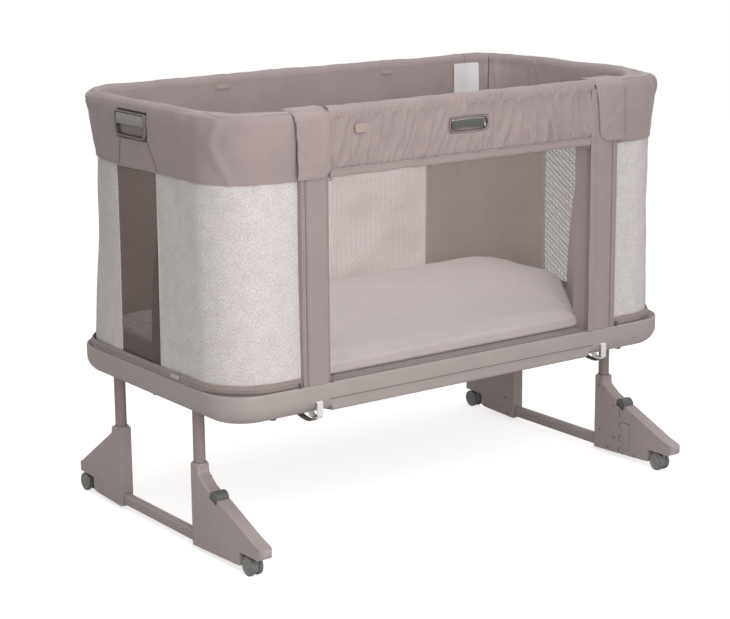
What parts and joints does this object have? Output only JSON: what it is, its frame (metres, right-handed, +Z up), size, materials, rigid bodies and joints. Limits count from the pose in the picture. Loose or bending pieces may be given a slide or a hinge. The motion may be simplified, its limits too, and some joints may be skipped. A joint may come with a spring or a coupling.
{
  "type": "bassinet on stand",
  "caption": "Rectangular bedside bassinet with padded fabric walls, mesh windows, a drop-down front and a hard tray on telescopic caster legs.",
  "frame": {"origin": "middle of the outer box, on the floor", "axes": "+X along the length to the right-hand end, +Y from the drop-down front to the back, +Z up"},
  "size_m": [1.124, 0.706, 0.8514],
  "materials": {
    "tray_plastic": "satin moulded plastic, warm grey",
    "leg_plastic": "satin moulded plastic, taupe grey",
    "tube_metal": "powder coated, taupe grey",
    "taupe_fabric": "smooth woven polyester, taupe",
    "melange_fabric": "coarse melange weave, light grey",
    "mesh_fabric": "open breathable mesh, taupe",
    "mattress_fabric": "soft woven cover, light greige",
    "board_panel": "plain panel",
    "handle_grey": "satin grey plastic",
    "dark_grey": "satin dark grey plastic",
    "white_plastic": "satin off-white plastic",
    "wheel_grey": "smooth grey plastic"
  },
  "bodies": {
    "crib": {"tray": "tray_plastic", "bed_board": "board_panel", "back_band": "taupe_fabric", "back_mesh": "mesh_fabric", "skirt_strip": "taupe_fabric", "rail_frame_left": "tube_metal", "post_sleeve_left": "taupe_fabric", "end_band_left": "taupe_fabric", "wall_front_left": "melange_fabric", "wall_back_left": "melange_fabric", "end_mesh_left": "mesh_fabric", "corner_lining_left": "taupe_fabric", "end_bezel_left": "handle_grey", "anchor_hook_left": "white_plastic", "leg_tube_front_left": "tube_metal", "leg_tube_rear_left": "tube_metal", "rail_frame_right": "tube_metal", "post_sleeve_right": "taupe_fabric", "end_band_right": "taupe_fabric", "wall_front_right": "melange_fabric", "wall_back_right": "melange_fabric", "end_mesh_right": "mesh_fabric", "corner_lining_right": "taupe_fabric", "end_bezel_right": "handle_grey", "anchor_hook_right": "white_plastic", "leg_tube_front_right": "tube_metal", "leg_tube_rear_right": "tube_metal"},
    "mattress": {"mattress": "mattress_fabric"},
    "drop_side": {"front_rail": "tube_metal", "front_band": "taupe_fabric", "front_latch_bezel": "dark_grey", "side_guide_left": "tray_plastic", "side_guide_right": "tray_plastic", "front_mesh": "mesh_fabric"},
    "front_lever": {"front_latch_lever": "handle_grey"},
    "end_pull_left": {"end_pull_left": "handle_grey"},
    "leg_left": {"housing_front_left": "leg_plastic", "housing_rear_left": "leg_plastic", "crossbar_left": "tube_metal"},
    "front_foot_left": {"front_foot_left": "leg_plastic"},
    "fold_button_left": {"fold_button_left": "dark_grey"},
    "caster_front_left": {"caster_fork_front_left": "wheel_grey"},
    "wheels_front_left": {"caster_wheels_front_left": "wheel_grey"},
    "catch_front_left": {"catch_front_left": "dark_grey"},
    "caster_rear_left": {"caster_fork_rear_left": "wheel_grey"},
    "wheels_rear_left": {"caster_wheels_rear_left": "wheel_grey"},
    "catch_rear_left": {"catch_rear_left": "dark_grey"},
    "end_pull_right": {"end_pull_right": "handle_grey"},
    "leg_right": {"housing_front_right": "leg_plastic", "housing_rear_right": "leg_plastic", "crossbar_right": "tube_metal"},
    "front_foot_right": {"front_foot_right": "leg_plastic"},
    "fold_button_right": {"fold_button_right": "dark_grey"},
    "caster_front_right": {"caster_fork_front_right": "wheel_grey"},
    "wheels_front_right": {"caster_wheels_front_right": "wheel_grey"},
    "catch_front_right": {"catch_front_right": "dark_grey"},
    "caster_rear_right": {"caster_fork_rear_right": "wheel_grey"},
    "wheels_rear_right": {"caster_wheels_rear_right": "wheel_grey"},
    "catch_rear_right": {"catch_rear_right": "dark_grey"}
  },
  "joints": [
    {"name": "mattress_lift", "type": "slide", "parent": "crib", "child": "mattress", "axis": [0, 0, 1], "range_m": [0, 0.52]},
    {"name": "drop_side_slide", "type": "slide", "parent": "crib", "child": "drop_side", "axis": [0, 0, -1], "range_m": [0, 0.28], "deforming": ["front_mesh"]},
    {"name": "front_lever_squeeze", "type": "hinge", "parent": "drop_side", "child": "front_lever", "pos_m": [0, -0.2865, 0.8005], "axis": [-1, 0, 0], "range_deg": [0, 18], "stiffness_Nm_per_rad": 0.06},
    {"name": "end_pull_left_tilt", "type": "hinge", "parent": "crib", "child": "end_pull_left", "pos_m": [-0.56, 0.033, 0.823], "axis": [0, 1, 0], "range_deg": [0, 18], "stiffness_Nm_per_rad": 0.08},
    {"name": "leg_left_height", "type": "slide", "parent": "crib", "child": "leg_left", "axis": [0, 0, 1], "range_m": [-0.04, 0.045]},
    {"name": "front_foot_left_fold", "type": "hinge", "parent": "leg_left", "child": "front_foot_left", "pos_m": [-0.5102, -0.1889, 0.059], "axis": [0, 0, 1], "range_deg": [0, 90]},
    {"name": "fold_button_left_press", "type": "slide", "parent": "front_foot_left", "child": "fold_button_left", "axis": [0, 0.3838, -0.9234], "range_m": [0, 0.003], "stiffness_N_per_m": 600},
    {"name": "caster_front_left_swivel", "type": "hinge", "parent": "front_foot_left", "child": "caster_front_left", "pos_m": [-0.52, -0.305, 0.045], "axis": [0, 0, 1], "continuous": true},
    {"name": "wheels_front_left_roll", "type": "hinge", "parent": "caster_front_left", "child": "wheels_front_left", "pos_m": [-0.52, -0.299, 0.019], "axis": [1, 0, 0], "continuous": true},
    {"name": "catch_front_left_press", "type": "slide", "parent": "crib", "child": "catch_front_left", "axis": [0, 0, 1], "range_m": [0, 0.003], "stiffness_N_per_m": 400},
    {"name": "caster_rear_left_swivel", "type": "hinge", "parent": "leg_left", "child": "caster_rear_left", "pos_m": [-0.52, 0.324, 0.045], "axis": [0, 0, 1], "continuous": true},
    {"name": "wheels_rear_left_roll", "type": "hinge", "parent": "caster_rear_left", "child": "wheels_rear_left", "pos_m": [-0.52, 0.33, 0.019], "axis": [1, 0, 0], "continuous": true},
    {"name": "catch_rear_left_press", "type": "slide", "parent": "crib", "child": "catch_rear_left", "axis": [0, 0, 1], "range_m": [0, 0.003], "stiffness_N_per_m": 400},
    {"name": "end_pull_right_tilt", "type": "hinge", "parent": "crib", "child": "end_pull_right", "pos_m": [0.56, 0.033, 0.823], "axis": [0, -1, 0], "range_deg": [0, 18], "stiffness_Nm_per_rad": 0.08},
    {"name": "leg_right_height", "type": "slide", "parent": "crib", "child": "leg_right", "axis": [0, 0, 1], "range_m": [-0.04, 0.045]},
    {"name": "front_foot_right_fold", "type": "hinge", "parent": "leg_right", "child": "front_foot_right", "pos_m": [0.5102, -0.1889, 0.059], "axis": [0, 0, -1], "range_deg": [0, 90]},
    {"name": "fold_button_right_press", "type": "slide", "parent": "front_foot_right", "child": "fold_button_right", "axis": [0, 0.3838, -0.9234], "range_m": [0, 0.003], "stiffness_N_per_m": 600},
    {"name": "caster_front_right_swivel", "type": "hinge", "parent": "front_foot_right", "child": "caster_front_right", "pos_m": [0.52, -0.305, 0.045], "axis": [0, 0, 1], "continuous": true},
    {"name": "wheels_front_right_roll", "type": "hinge", "parent": "caster_front_right", "child": "wheels_front_right", "pos_m": [0.52, -0.299, 0.019], "axis": [1, 0, 0], "continuous": true},
    {"name": "catch_front_right_press", "type": "slide", "parent": "crib", "child": "catch_front_right", "axis": [0, 0, 1], "range_m": [0, 0.003], "stiffness_N_per_m": 400},
    {"name": "caster_rear_right_swivel", "type": "hinge", "parent": "leg_right", "child": "caster_rear_right", "pos_m": [0.52, 0.324, 0.045], "axis": [0, 0, 1], "continuous": true},
    {"name": "wheels_rear_right_roll", "type": "hinge", "parent": "caster_rear_right", "child": "wheels_rear_right", "pos_m": [0.52, 0.33, 0.019], "axis": [1, 0, 0], "continuous": true},
    {"name": "catch_rear_right_press", "type": "slide", "parent": "crib", "child": "catch_rear_right", "axis": [0, 0, 1], "range_m": [0, 0.003], "stiffness_N_per_m": 400}
  ]
}
